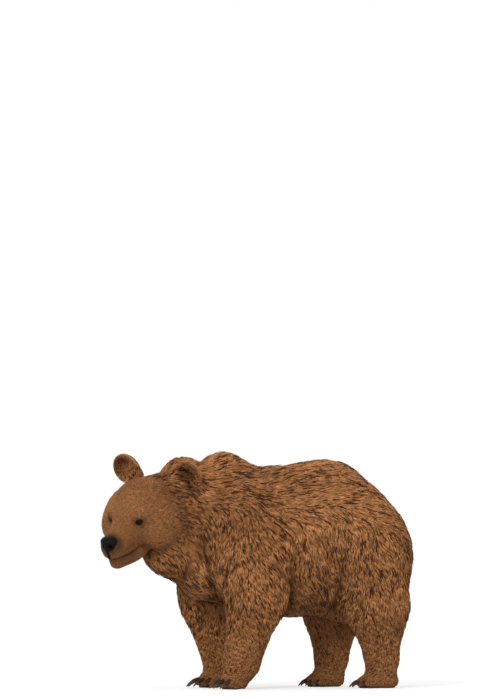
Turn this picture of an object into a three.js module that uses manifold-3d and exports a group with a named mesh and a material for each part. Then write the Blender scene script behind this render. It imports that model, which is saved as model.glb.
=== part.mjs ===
// A life-size brown bear (Ursus arctos) standing on all fours, with its head turned to its left.
// Millimetres, +Z up. The bear faces -X and its left side is towards -Y. The soles stand on Z = 0.
// One smooth body is made from named masses of flesh and coat, and is parted there by thin cuts.
import * as THREE from "three";
import { mergeVertices } from "three/addons/utils/BufferGeometryUtils.js";
import Module from "manifold-3d";

const wasm = await Module();
wasm.setup();

// ---------------------------------------------------------------- driving sizes

const GAP = 0.5; // clearance where two solids meet
const FAR = 3000; // reach of a cutting block, beyond the whole animal

const HUMP_TOP = 1112; // floor to the crest of the shoulder hump, coat included
const BELLY_BOTTOM = 324; // floor to the belly's coat
const TRUNK_HALF_WIDTH = 296;
const STANCE = 188; // from the midline to the middle of each foot

const SHOULDER = { x: -185, z: 745 };
const HIP = { x: 470, z: 640 };

const HEAD = {
  at: [-602, -64, 840], // middle of the skull
  size: 1.08, // of a skull 480 mm long with its nose and coat
  turn: 38, // degrees to the animal's left
  bow: 25, // nose down
  cock: 6, // right ear up
};
const EYE = { at: [139, 66, 15], radius: 17 };
const EAR = { at: [-162, 152, 100], thick: 30, wide: 69, tall: 72, flare: 3, lean: 15 };
const NOSE = { at: [298, 0, -20], radii: [27, 40, 27] };

// Each leg: side is -1 on the left, joints run from the top down, and heading turns the toes out.
const LEGS = [
  {
    name: "front_left", side: -1, front: true, heading: 4,
    elbow: [-80, 430], wrist: [-156, 122], heel: -134, toes: -260,
  },
  {
    name: "front_right", side: 1, front: true, heading: 4,
    elbow: [-184, 430], wrist: [-118, 118], heel: -78, toes: -240,
  },
  {
    name: "hind_left", side: -1, front: false, heading: 8,
    elbow: [524, 385], wrist: [545, 125], heel: 625, toes: 426,
  },
  {
    name: "hind_right", side: 1, front: false, heading: 8,
    elbow: [442, 385], wrist: [432, 125], heel: 490, toes: 298,
  },
];
const FRONT_LEG = {
  top: 150, elbow: 140, wrist: 88, flat: 0.86, // radii, and their narrowing across
  pawWidth: 164, pawTop: 92, reach: 260,
};
const HIND_LEG = {
  top: 205, elbow: 146, wrist: 80, flat: 0.86,
  pawWidth: 150, pawTop: 88, reach: 360,
};
const buildOf = (leg) => (leg.front ? FRONT_LEG : HIND_LEG);
const TOES = 5;
const TOE = { long: 40, wide: 19, tall: 29 }; // half sizes
const FRONT_CLAW = { length: 62, radius: 12, drop: 33 };
const HIND_CLAW = { length: 46, radius: 10, drop: 27 };

const CELL = { trunk: 76, neck: 64, head: 39.4, leg: 64, paw: 44, tail: 34 };

// ---------------------------------------------------------------- soft masses

const point = (x, y, z) => new THREE.Vector3(x, y, z);
const degrees = THREE.MathUtils.degToRad;

// An ellipsoid. The distance is exact on its surface and near enough around it.
function ball(at, radii, soft, frame = null) {
  const centre = point(...at);
  const r = point(...radii);
  const inward = frame ? frame.clone().invert() : null;
  const scale = frame ? frame.getMaxScaleOnAxis() : 1;
  const distance = (p) => {
    const q = p.clone();
    if (inward) q.applyMatrix4(inward);
    q.sub(centre).divide(r);
    const k = q.length();
    return (scale * k * (k - 1)) / Math.max(q.divide(r).length(), 1e-6);
  };
  return { distance, soft };
}

// A round bar from one joint to the next, of changing radius, narrowed across by flat.
function bone(from, to, startRadius, endRadius, soft, flat = 1, frame = null) {
  const a = point(...from);
  const along = point(...to).sub(a);
  const inward = frame ? frame.clone().invert() : null;
  const scale = (frame ? frame.getMaxScaleOnAxis() : 1) * Math.min(flat, 1);
  const distance = (p) => {
    const q = p.clone();
    if (inward) q.applyMatrix4(inward);
    q.sub(a);
    const t = THREE.MathUtils.clamp(q.dot(along) / along.lengthSq(), 0, 1);
    q.addScaledVector(along, -t);
    q.y /= flat;
    return (q.length() - THREE.MathUtils.lerp(startRadius, endRadius, t)) * scale;
  };
  return { distance, soft };
}

function smoothMin(a, b, soft) {
  const h = Math.max(soft - Math.abs(a - b), 0) / soft;
  return Math.min(a, b) - (h * h * soft) / 4;
}

const together = (masses) => (p) =>
  masses.reduce((d, mass) => smoothMin(d, mass.distance(p), mass.soft), Infinity);

// ---------------------------------------------------------------- trunk, neck and tail

function trunkMasses() {
  const humpRadius = 190;
  const bellyRadius = 345;
  return [
    ball([150, 0, BELLY_BOTTOM + bellyRadius], [370, TRUNK_HALF_WIDTH, bellyRadius], 90), // belly
    ball([-150, 0, 720], [285, TRUNK_HALF_WIDTH - 26, 305], 90), // rib cage
    bone([20, 0, 896], [330, 0, 914], 138, 142, 90), // loin
    ball([344, 0, 756], [270, TRUNK_HALF_WIDTH - 24, 302], 90), // croup
    ball([476, 0, 608], [284, TRUNK_HALF_WIDTH - 4, 328], 90), // buttocks
    ball([-176, 0, HUMP_TOP - humpRadius], [150, 125, humpRadius], 70), // shoulder hump
    ball([-252, 0, 580], [175, 205, 175], 90), // brisket
  ];
}

function neckMasses() {
  return [
    bone([-230, 0, 800], [-500, -26, 832], 262, 178, 80, 0.86), // neck
    ball([-390, -16, 932], [120, 120, 160], 60), // nape
    ball([-468, -38, 638], [122, 130, 120], 100), // throat
  ];
}

const tailMass = bone([676, 0, 780], [736, 0, 680], 42, 28, 24);

// ---------------------------------------------------------------- head

// Head axes: x to the nose, y to the animal's left, z up, from the middle of the skull.
const headFrame = new THREE.Matrix4()
  .makeTranslation(...HEAD.at)
  .multiply(new THREE.Matrix4().makeRotationZ(Math.PI + degrees(HEAD.turn)))
  .multiply(new THREE.Matrix4().makeRotationY(degrees(HEAD.bow)))
  .multiply(new THREE.Matrix4().makeRotationX(-degrees(HEAD.cock)))
  .scale(point(HEAD.size, HEAD.size, HEAD.size));

function headMasses() {
  const masses = [
    ball([-8, 0, 4], [154, 136, 134], 60, headFrame), // skull
    ball([78, 0, 36], [96, 92, 66], 40, headFrame), // forehead
    bone([96, 0, -48], [262, 0, -53], 78, 59, 42, 0.95, headFrame), // muzzle
    bone([104, 0, 14], [214, 0, -38], 50, 36, 34, 0.85, headFrame), // bridge of the nose
    bone([66, 0, -132], [250, 0, -122], 72, 42, 16, 1, headFrame), // lower jaw
  ];
  for (const side of [-1, 1]) {
    masses.push(
      ball([34, side * 93, -55], [112, 78, 104], 50, headFrame), // cheek
      ball([112, side * 54, 36], [46, 38, 28], 26, headFrame), // brow
      ball([-48, side * 112, -62], [96, 76, 118], 60, headFrame), // ruff behind the cheek
      ball([-150, side * 110, 54], [50, 48, 56], 34, headFrame), // root of the ear
    );
  }
  return masses;
}

// ---------------------------------------------------------------- legs and feet

function legMasses(leg) {
  const build = buildOf(leg);
  const top = leg.front ? SHOULDER : HIP;
  const y = leg.side * STANCE;
  const topY = leg.side * (STANCE - 26);
  const [elbowX, elbowZ] = leg.elbow;
  const [wristX, wristZ] = leg.wrist;
  const elbow = [elbowX, y, elbowZ];
  const wrist = [wristX, y, wristZ];
  return [
    bone([top.x, topY, top.z], elbow, build.top, build.elbow, 70, build.flat),
    bone(elbow, wrist, build.elbow, build.wrist, 60, build.flat),
    ...pawMasses(leg, build, wrist),
  ];
}

// The foot's own axes: x forward from the heel, y to the left, on the floor.
function pawFrame(leg) {
  return new THREE.Matrix4()
    .makeTranslation(leg.heel, leg.side * STANCE, 0)
    .multiply(new THREE.Matrix4().makeRotationZ(Math.PI + degrees(leg.side * leg.heading)));
}

// The axes of toe i, on a shallow arc across the front of the foot, the middle one furthest forward.
function toeFrame(leg, build, i) {
  const across = (2 * i) / (TOES - 1) - 1;
  const x = leg.heel - leg.toes - 36 - 26 * across * across;
  const y = across * (build.pawWidth / 2 - TOE.wide - 2);
  return pawFrame(leg)
    .multiply(new THREE.Matrix4().makeTranslation(x, y, 0))
    .multiply(new THREE.Matrix4().makeRotationZ(degrees(across * 12)));
}

function pawMasses(leg, build, wrist) {
  const frame = pawFrame(leg);
  const length = leg.heel - leg.toes;
  const half = build.pawWidth / 2;
  const ankle = point(...wrist).applyMatrix4(frame.clone().invert());
  return [
    ball([length * 0.34, 0, 34], [length * 0.36, half * 0.82, 52], 34, frame), // heel pad
    ball([length * 0.62, 0, 30], [length * 0.32, half, 44], 30, frame), // ball of the foot
    bone([ankle.x, ankle.y, wrist[2]], [length * 0.46, 0, 42], build.wrist * 0.94, 48, 34, 0.95, frame),
  ];
}

// ---------------------------------------------------------------- the whole body's distance

const fleshMasses = [
  ...trunkMasses(),
  ...neckMasses(),
  ...LEGS.flatMap(legMasses),
  ...headMasses(),
];
const flesh = together(fleshMasses);

const sided = ([x, y, z], side) => [x, side * y, z];

// ---------------------------------------------------------------- surfaces and solids

const corners = [0, 1].flatMap((k) => [0, 1].flatMap((j) => [0, 1].map((i) => [i, j, k])));
const cellEdges = corners.flatMap((a, m) =>
  corners.slice(m + 1).flatMap((b) => {
    const steps = a.filter((v, axis) => v !== b[axis]).length;
    return steps === 1 ? [[a, b]] : [];
  }),
);

// Sample points in a box, a cell apart.
class Grid {
  constructor(low, high, cell) {
    this.low = low;
    this.cell = cell;
    this.size = low.map((v, axis) => Math.ceil((high[axis] - v) / cell) + 1);
  }

  index(at) {
    return at[0] + this.size[0] * (at[1] + this.size[1] * at[2]);
  }

  place(at) {
    return point(...at.map((n, axis) => this.low[axis] + n * this.cell));
  }

  has(at) {
    return at.every((n, axis) => n >= 0 && n < this.size[axis]);
  }

  isEdge(at) {
    return at.some((n, axis) => n === 0 || n === this.size[axis] - 1);
  }

  each(visit) {
    for (let k = 0; k < this.size[2]; k++)
      for (let j = 0; j < this.size[1]; j++) for (let i = 0; i < this.size[0]; i++) visit([i, j, k]);
  }
}

const stepped = (at, step) => at.map((n, axis) => n + step[axis]);
const unit = (axis) => [0, 1, 2].map((n) => (n === axis ? 1 : 0));

// Where the corners of a grid square are by turns in and out, two sheets would share an edge.
// The outer corner that is nearest to the surface is taken inside.
function parted(values, grid) {
  let changed = false;
  grid.each((at) => {
    for (let axis = 0; axis < 3; axis++) {
      const [u, v] = [unit((axis + 1) % 3), unit((axis + 2) % 3)];
      const far = stepped(stepped(at, u), v);
      if (!grid.has(far)) continue;
      const square = [at, stepped(at, u), far, stepped(at, v)].map((corner) => grid.index(corner));
      const inside = square.map((n) => values[n] < 0);
      if (inside[0] !== inside[2] || inside[1] !== inside[3] || inside[0] === inside[1]) continue;
      const outer = square.filter((n) => values[n] >= 0).sort((a, b) => values[a] - values[b]);
      values[outer[0]] = -grid.cell / 10;
      changed = true;
    }
  });
  return changed ? parted(values, grid) : values;
}

// The closed surface where distance is 0 inside the box from low to high, as surface nets:
// one point for each cell that the surface crosses, then four cells joined round each crossed edge.
function surfaceOf(distance, low, high, cell) {
  const grid = new Grid(low, high, cell);
  const samples = new Float64Array(grid.size[0] * grid.size[1] * grid.size[2]);
  grid.each((at) => {
    const d = distance(grid.place(at));
    samples[grid.index(at)] = grid.isEdge(at) ? Math.max(d, cell / 2) : d;
  });
  const values = parted(samples, grid);

  const pointOf = new Map();
  const positions = [];
  grid.each((at) => {
    if (!grid.has(stepped(at, [1, 1, 1]))) return;
    const sum = point(0, 0, 0);
    let crossings = 0;
    for (const [a, b] of cellEdges) {
      const va = values[grid.index(stepped(at, a))];
      const vb = values[grid.index(stepped(at, b))];
      if (va < 0 === vb < 0) continue;
      sum.add(point(...a).lerp(point(...b), va / (va - vb)));
      crossings++;
    }
    if (!crossings) return;
    const middle = grid.place(at).addScaledVector(sum, cell / crossings);
    pointOf.set(grid.index(at), positions.length / 3);
    positions.push(...settled(middle, distance, cell).toArray());
  });

  const faces = [];
  const corner = (n) => point(...positions.slice(3 * n, 3 * n + 3));
  const quad = (a, b, c, d) => {
    const shorter = corner(a).distanceTo(corner(c)) <= corner(b).distanceTo(corner(d));
    faces.push(...(shorter ? [a, b, c, a, c, d] : [b, c, d, b, d, a]));
  };
  grid.each((at) => {
    const inside = values[grid.index(at)] < 0;
    for (let axis = 0; axis < 3; axis++) {
      const next = stepped(at, unit(axis));
      if (!grid.has(next) || inside === values[grid.index(next)] < 0) continue;
      const [u, v] = [unit((axis + 1) % 3), unit((axis + 2) % 3)];
      const around = [[0, 0], [-1, 0], [-1, -1], [0, -1]].map(([du, dv]) =>
        pointOf.get(grid.index(at.map((n, m) => n + du * u[m] + dv * v[m]))),
      );
      quad(...(inside ? around : around.reverse()));
    }
  });
  return new THREE.BufferGeometry()
    .setAttribute("position", new THREE.Float32BufferAttribute(positions, 3))
    .setIndex(faces);
}

// Moves a point towards the surface by at most a quarter of a cell.
function settled(at, distance, cell) {
  const step = cell / 20;
  const here = distance(at);
  const slope = point(
    distance(at.clone().add(point(step, 0, 0))) - here,
    distance(at.clone().add(point(0, step, 0))) - here,
    distance(at.clone().add(point(0, 0, step))) - here,
  ).divideScalar(step);
  const reach = cell / 4;
  const move = THREE.MathUtils.clamp(-here / Math.max(slope.lengthSq(), 0.2), -reach, reach);
  return at.addScaledVector(slope, move);
}

// A closed three.js geometry as a solid that can be cut and joined.
function solidOf(geometry) {
  const bare = geometry.clone();
  bare.deleteAttribute("normal");
  bare.deleteAttribute("uv");
  const merged = mergeVertices(bare, 1e-3);
  return new wasm.Manifold(
    new wasm.Mesh({
      numProp: 3,
      vertProperties: merged.getAttribute("position").array,
      triVerts: new Uint32Array(merged.index.array),
    }),
  );
}

function geometryOf(solid) {
  const mesh = solid.getMesh();
  const geometry = new THREE.BufferGeometry()
    .setAttribute("position", new THREE.BufferAttribute(mesh.vertProperties, 3))
    .setIndex(new THREE.BufferAttribute(mesh.triVerts, 1));
  geometry.computeVertexNormals();
  return geometry;
}

// Everything on one side of a plane through a point: the side that the normal points to.
function halfSpace(through, normal) {
  const n = normal.clone().normalize();
  const block = new THREE.BoxGeometry(FAR, FAR, FAR).translate(0, 0, FAR / 2);
  const turned = new THREE.Quaternion().setFromUnitVectors(point(0, 0, 1), n);
  block.applyQuaternion(turned).translate(through.x, through.y, through.z);
  return solidOf(block);
}

// ---------------------------------------------------------------- where the body is parted

// A leg is parted from the trunk by an upright plane near the midline, one on the belly's side of
// the leg, and a roof that climbs away from the belly.
const LEG_SPACE = { inner: 40, belly: 168, roof: 452, slope: 0.62 };

const aboveFloor = halfSpace(point(0, 0, 0), point(0, 0, 1));
const headTurn = degrees(HEAD.turn);
const headward = point(-Math.cos(headTurn), -Math.sin(headTurn), 0.18).normalize();
const headCut = point(-112, 0, 0).applyMatrix4(headFrame);
const neckCut = point(-312, 0, 800);
const neckward = point(-1, 0, 0.26).normalize();

const cutAt = (through, normal, side) =>
  halfSpace(through.clone().addScaledVector(normal, (side * GAP) / 2), normal.clone().multiplyScalar(side));

// The space of one leg, as a side view drawn round the elbow or knee and pushed outwards.
function legSpace(leg, grow) {
  const away = leg.front ? -1 : 1; // the way along x from the belly
  const corner = (reach, z) => new THREE.Vector2(leg.elbow[0] + away * reach, z);
  const roofAt = (reach) => LEG_SPACE.roof + LEG_SPACE.slope * reach + grow;
  const near = -LEG_SPACE.belly - grow;
  const far = buildOf(leg).reach + grow;
  const under = -FAR / 10;
  const bottom = [corner(near, under), corner(far, under)];
  const outline = [...bottom, corner(far, roofAt(far)), corner(near, roofAt(near))];
  const side = new THREE.Shape(outline);
  const prism = new THREE.ExtrudeGeometry(side, { depth: FAR / 4, bevelEnabled: false });
  prism.rotateX(Math.PI / 2); // shape y becomes z, and the depth runs to -y
  const innerY = LEG_SPACE.inner - grow;
  prism.translate(0, leg.side < 0 ? -innerY : innerY + FAR / 4, 0);
  return solidOf(prism);
}

// ---------------------------------------------------------------- materials

const coat = (name, color) => new THREE.MeshStandardMaterial({ name, color, roughness: 0.9, metalness: 0 });
const BROWN = coat("coat", 0x835434);
const shiny = (name, color, roughness) =>
  new THREE.MeshStandardMaterial({ name, color, roughness, metalness: 0 });
const HORN = shiny("claw", 0x38210f, 0.45);
const NOSE_SKIN = shiny("nose", 0x0b0908, 0.5);
const EYE_SHINE = shiny("eye", 0x080504, 0.1);

const animal = new THREE.Group();

function add(name, solid, material) {
  const mesh = new THREE.Mesh(geometryOf(solid), material);
  mesh.name = name;
  animal.add(mesh);
  return solid;
}

// ---------------------------------------------------------------- the pieces of flesh

const RANGE = { low: [-960, -420, -60], high: [860, 420, 1230] };
const bodySurface = (cell, low = RANGE.low, high = RANGE.high) =>
  solidOf(surfaceOf(flesh, low, high, cell));

function makeTrunk() {
  const cuts = LEGS.map((leg) => legSpace(leg, GAP));
  const trunk = bodySurface(CELL.trunk).intersect(cutAt(neckCut, neckward, -1));
  return wasm.Manifold.difference([trunk, ...cuts]);
}

function makeNeck() {
  const low = [-760, -420, 380];
  const high = [-110, 340, 1230];
  return bodySurface(CELL.neck, low, high)
    .intersect(cutAt(neckCut, neckward, 1))
    .intersect(cutAt(headCut, headward, -1))
    .subtract(legSpace(LEGS[0], GAP))
    .subtract(legSpace(LEGS[1], GAP));
}

function makeHead() {
  const low = [-960, -420, 480];
  const high = [-290, 300, 1160];
  let head = bodySurface(CELL.head, low, high).intersect(cutAt(headCut, headward, 1));
  for (const side of [-1, 1]) {
    head = head.subtract(eyeSocket(side)).subtract(eyeBall(side, GAP));
  }
  return head.subtract(solidOf(noseShape(GAP)));
}

// The two ends of a box from one x, outwards y and z to another, on one leg's side of the body.
function sideBox(leg, [x0, inner, z0], [x1, outer, z1]) {
  const [y0, y1] = leg.side < 0 ? [-outer, -inner] : [inner, outer];
  return [[x0, y0, z0], [x1, y1, z1]];
}

function makeLeg(leg) {
  const room = 1.6 * CELL.leg; // beyond the cuts, which so meet the surface away from its own edges
  const reach = buildOf(leg).reach + room;
  const top = LEG_SPACE.roof + LEG_SPACE.slope * buildOf(leg).reach + room;
  const [low, high] = sideBox(
    leg,
    [leg.elbow[0] - reach, LEG_SPACE.inner - 2 * room, -room],
    [leg.elbow[0] + reach, TRUNK_HALF_WIDTH + 2 * room, top],
  );
  return bodySurface(CELL.leg, low, high)
    .intersect(legSpace(leg, 0))
    .intersect(cutAt(point(0, 0, buildOf(leg).pawTop), point(0, 0, 1), 1));
}

function makePaw(leg) {
  const build = buildOf(leg);
  const room = 2 * CELL.paw;
  const [low, high] = sideBox(
    leg,
    [leg.toes - room, STANCE - build.pawWidth / 2 - room, -room],
    [leg.heel + room, STANCE + build.pawWidth / 2 + room, build.pawTop + room],
  );
  const foot = bodySurface(CELL.paw, low, high);
  const toes = Array.from({ length: TOES }, (_, i) => toeShape(leg, build, i));
  return wasm.Manifold.union([foot, ...toes])
    .intersect(cutAt(point(0, 0, build.pawTop), point(0, 0, 1), -1))
    .intersect(aboveFloor);
}

function toeShape(leg, build, i) {
  const toe = new THREE.SphereGeometry(1, 8, 6).scale(TOE.long, TOE.wide, TOE.tall);
  toe.translate(0, 0, TOE.tall - 3);
  return solidOf(toe.applyMatrix4(toeFrame(leg, build, i)));
}

// ---------------------------------------------------------------- tail, ears, eyes and nose

// What shows of a piece that grows out of others, moved off them along outward by the gap.
function outerPart(piece, outward, ...grownFrom) {
  const cut = wasm.Manifold.difference([piece, ...grownFrom]);
  const shown = cut.decompose().sort((a, b) => b.volume() - a.volume())[0];
  return shown.translate(outward.clone().setLength(GAP).toArray());
}

function makeTail(trunk) {
  const tail = surfaceOf(tailMass.distance, [660, -90, 630], [850, 90, 880], CELL.tail);
  return outerPart(solidOf(tail), point(1, 0, 0), trunk);
}

function earFrame(side) {
  return headFrame
    .clone()
    .multiply(new THREE.Matrix4().makeTranslation(...sided(EAR.at, side)))
    .multiply(new THREE.Matrix4().makeRotationZ(side * degrees(EAR.flare)))
    .multiply(new THREE.Matrix4().makeRotationX(-side * degrees(EAR.lean)));
}

// A round ear, hollow in front, cut off by the head and neck that it grows from.
function makeEar(side, head, neck) {
  const frame = earFrame(side);
  const shell = new THREE.SphereGeometry(1, 12, 8).scale(EAR.thick, EAR.wide, EAR.tall);
  const hollow = new THREE.SphereGeometry(1, 10, 6).scale(30, EAR.wide - 16, EAR.tall - 18);
  hollow.translate(28, 0, 4);
  const ear = solidOf(shell.applyMatrix4(frame)).subtract(solidOf(hollow.applyMatrix4(frame)));
  const outward = point(-0.4, side * 0.6, 1).transformDirection(frame);
  // Head and neck are also taken off pushed across the cut between them, which the ear may stand
  // over, and pushed back from where it is moved to.
  const pushed = (solid, way, far) => solid.translate(way.clone().multiplyScalar(far).toArray());
  const overCut = [pushed(head, headward, -2 * GAP), pushed(neck, headward, 2 * GAP)];
  const behind = [1, 2].flatMap((n) => [head, neck].map((solid) => pushed(solid, outward, -n * GAP)));
  return outerPart(ear, outward, head, neck, ...overCut, ...behind);
}

// The hollow that an eye looks out of.
function eyeSocket(side) {
  const [x, y, z] = sided(EYE.at, side);
  const hollow = new THREE.SphereGeometry(1, 10, 6).scale(30, 28, 24).translate(x + 21, y + side * 15, z);
  return solidOf(hollow.applyMatrix4(headFrame));
}

function eyeBall(side, grow) {
  const centre = point(...sided(EYE.at, side)).applyMatrix4(headFrame);
  const sphere = new THREE.SphereGeometry(EYE.radius + grow, 10, 7);
  return solidOf(sphere.translate(centre.x, centre.y, centre.z));
}

// The nose pad: a round block, its root set in the muzzle.
function noseShape(grow) {
  const radii = NOSE.radii.map((r) => r + grow);
  const pad = new THREE.SphereGeometry(1, 12, 8).scale(...radii).translate(...NOSE.at);
  return pad.applyMatrix4(headFrame);
}

// ---------------------------------------------------------------- claws

// A claw: an arc that leaves the toe forwards and bends down, round in section and drawn to a point.
function clawShape(claw) {
  const sides = 5;
  const rings = 2;
  const positions = [];
  const faces = [];
  for (let ring = 0; ring < rings; ring++) {
    const t = ring / rings;
    const centre = clawPoint(claw, t);
    const ahead = clawPoint(claw, t + 0.01).sub(centre).normalize();
    const up = point(-ahead.z, 0, ahead.x);
    const radius = claw.radius * Math.sqrt(1 - t) * 1.05;
    for (let s = 0; s < sides; s++) {
      const angle = (2 * Math.PI * s) / sides;
      const rim = centre.clone().addScaledVector(up, radius * Math.cos(angle));
      positions.push(...rim.add(point(0, 0.8 * radius * Math.sin(angle), 0)).toArray());
    }
  }
  positions.push(...clawPoint(claw, 0).toArray(), ...clawPoint(claw, 1).toArray());
  const root = rings * sides;
  const tip = root + 1;
  for (let s = 0; s < sides; s++) {
    const next = (s + 1) % sides;
    faces.push(root, s, next);
    for (let ring = 0; ring < rings - 1; ring++) {
      const [here, after] = [ring * sides, (ring + 1) * sides];
      faces.push(here + s, after + next, here + next, here + s, after + s, after + next);
    }
    const last = (rings - 1) * sides;
    faces.push(last + s, tip, last + next);
  }
  return new THREE.BufferGeometry()
    .setAttribute("position", new THREE.Float32BufferAttribute(positions, 3))
    .setIndex(faces);
}

// From the root at t = 0, level and forward, to the tip at t = 1, which has dropped by claw.drop.
const clawPoint = (claw, t) => point(claw.length * t, 0, -claw.drop * t * t);

function makeClaw(leg, build, i, paw) {
  const claw = leg.front ? FRONT_CLAW : HIND_CLAW;
  const place = toeFrame(leg, build, i);
  place.multiply(new THREE.Matrix4().makeTranslation(TOE.long - 16, 0, claw.drop + 4));
  const forward = point(1, 0, 0).transformDirection(place);
  return outerPart(solidOf(clawShape(claw).applyMatrix4(place)), forward, paw);
}

// ---------------------------------------------------------------- the animal

const trunk = add("trunk", makeTrunk(), BROWN);
add("tail", makeTail(trunk), BROWN);
const neck = add("neck", makeNeck(), BROWN);
const head = add("head", makeHead(), BROWN);
add("nose", solidOf(noseShape(0)), NOSE_SKIN);

for (const [side, word] of [[1, "left"], [-1, "right"]]) {
  add("ear_" + word, makeEar(side, head, neck), BROWN);
  add("eye_" + word, eyeBall(side, 0), EYE_SHINE);
}

for (const leg of LEGS) {
  const build = buildOf(leg);
  add("leg_" + leg.name, makeLeg(leg), BROWN);
  const paw = add("paw_" + leg.name, makePaw(leg), BROWN);
  for (let i = 0; i < TOES; i++) {
    add("claw_" + leg.name + "_" + (i + 1), makeClaw(leg, build, i, paw), HORN);
  }
}

// The origin is on the floor, under the middle of the animal.
const box = new THREE.Box3().setFromObject(animal);
const middle = box.getCenter(point(0, 0, 0));
animal.position.set(-middle.x, -middle.y, 0);

export default animal;
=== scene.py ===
"""A life-size brown bear: one skin with a coat of solid tufts, eyes, nose, claws, studio and camera.

The flesh is described as in the CAD source, in its own frame and in millimetres: the bear faces -X,
its left side is towards -Y, and the soles stand on Z = 0. Everything is turned into metres and the
row's frame when it becomes a mesh. The skin lies inside the CAD solids by the depth of the coat.
"""
import math

import bpy
import numpy as np
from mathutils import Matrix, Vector
from mathutils.kdtree import KDTree


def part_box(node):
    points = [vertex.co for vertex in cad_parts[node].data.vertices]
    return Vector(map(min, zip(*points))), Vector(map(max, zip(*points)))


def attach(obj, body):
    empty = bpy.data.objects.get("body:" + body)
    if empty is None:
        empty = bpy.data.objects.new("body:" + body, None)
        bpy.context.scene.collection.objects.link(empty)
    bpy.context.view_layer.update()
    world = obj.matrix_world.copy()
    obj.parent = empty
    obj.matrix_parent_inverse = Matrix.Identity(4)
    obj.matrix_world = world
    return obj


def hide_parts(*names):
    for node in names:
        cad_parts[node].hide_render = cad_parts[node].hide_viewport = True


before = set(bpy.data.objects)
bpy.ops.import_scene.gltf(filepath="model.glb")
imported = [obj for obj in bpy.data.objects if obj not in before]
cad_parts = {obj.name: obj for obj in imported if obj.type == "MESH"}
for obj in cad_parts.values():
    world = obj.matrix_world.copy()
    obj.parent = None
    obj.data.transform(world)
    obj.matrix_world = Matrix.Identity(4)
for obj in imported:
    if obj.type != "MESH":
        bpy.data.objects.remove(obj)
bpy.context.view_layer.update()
rng = np.random.default_rng(7)

# ---------- driving sizes, in millimetres and degrees

HUMP_TOP = 1112
BELLY_BOTTOM = 324
TRUNK_HALF_WIDTH = 296
STANCE = 188  # from the midline to the middle of each foot
SOLE_HEIGHT = 3  # of the furred skin between the pads

HEAD_AT = (-602, -64, 840)
HEAD_SIZE = 1.08
HEAD_TURN, HEAD_BOW, HEAD_COCK = 38, 25, 6
EYE_AT = (139, 66, 15)
EYE_RADIUS = 17  # not scaled with the head
PUPIL, IRIS = 13, 37  # degrees from the middle of the eye
EAR_AT = (-162, 152, 100)
EAR_RADII = (30, 69, 72)
EAR_FLARE, EAR_LEAN = 3, 15
NOSE_AT = (298, 0, -20)
MOUTH_CORNER, MOUTH_FRONT = 138, 300  # how far forward in the head's axes the lips part and meet

# Folds show a leg's edge in the flank or chest as a groove with painted shade in it, from and to (x from
# the elbow, height).
FRONT = dict(
    joint=(-185, 745), top=150, elbow=140, wrist=88, paw_width=164, heading=4,
    claw=dict(length=62, radius=12, drop=33),
    folds=[((147, 628), (165, 380)), ((-257, 690), (-218, 509)), ((-218, 509), (-165, 400))],
)
HIND = dict(
    joint=(470, 640), top=205, elbow=146, wrist=80, paw_width=150, heading=8,
    claw=dict(length=46, radius=10, drop=27),
    folds=[((-199, 590), (-205, 430)), ((-205, 430), (-176, 350))],
)
LEGS = {
    "front_left": dict(build=FRONT, side=-1, elbow=(-80, 430), wrist=(-156, 122), heel=-134, toes=-260),
    "front_right": dict(build=FRONT, side=1, elbow=(-184, 430), wrist=(-118, 118), heel=-78, toes=-240),
    "hind_left": dict(build=HIND, side=-1, elbow=(524, 385), wrist=(545, 125), heel=625, toes=426),
    "hind_right": dict(build=HIND, side=1, elbow=(442, 385), wrist=(432, 125), heel=490, toes=298),
}
LEG_FLAT = 0.86
TOES = 5
TOE_RADII = (40, 19, 29)

# ---------- axes and masses


def turned(axis, angle):
    """The turn by an angle about the axis x, y or z."""
    c, s = math.cos(math.radians(angle)), math.sin(math.radians(angle))
    a = ("xyz".index(axis) + 1) % 3
    b = (a + 1) % 3
    turn = np.eye(3)
    turn[a, a] = turn[b, b] = c
    turn[a, b], turn[b, a] = -s, s
    return turn


class Axes:
    """Axes of their own place, turn and scale."""

    def __init__(self, origin=(0, 0, 0), turn=np.eye(3), size=1.0):
        self.origin = np.array(origin, float)
        self.turn = turn
        self.size = size

    def local(self, points):
        return (points - self.origin) @ self.turn / self.size

    def world(self, points):
        return self.origin + self.size * (np.asarray(points, float) @ self.turn.T)

    def direction(self, vector):
        return np.asarray(vector, float) @ self.turn.T

    def inner(self, origin, turn=np.eye(3)):
        """Axes placed and turned inside these."""
        return Axes(self.world(origin), self.turn @ turn, self.size)


WORLD = Axes()
HEAD_POSE = turned("z", 180 + HEAD_TURN) @ turned("y", HEAD_BOW) @ turned("x", -HEAD_COCK)
HEAD = Axes(HEAD_AT, HEAD_POSE, HEAD_SIZE)


class Ball:
    """An ellipsoid."""

    def __init__(self, at, radii, soft, axes=WORLD):
        self.at = np.array(at, float)
        self.radii = np.array(radii, float)
        self.soft = soft
        self.axes = axes
        self.centre = axes.world(self.at)
        self.reach = self.radii.max() * axes.size

    def distance(self, points):
        q = (self.axes.local(points) - self.at) / self.radii
        k = np.sqrt((q * q).sum(1))
        steep = np.sqrt(((q / self.radii) ** 2).sum(1))
        return self.axes.size * k * (k - 1) / np.maximum(steep, 1e-6)


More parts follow.
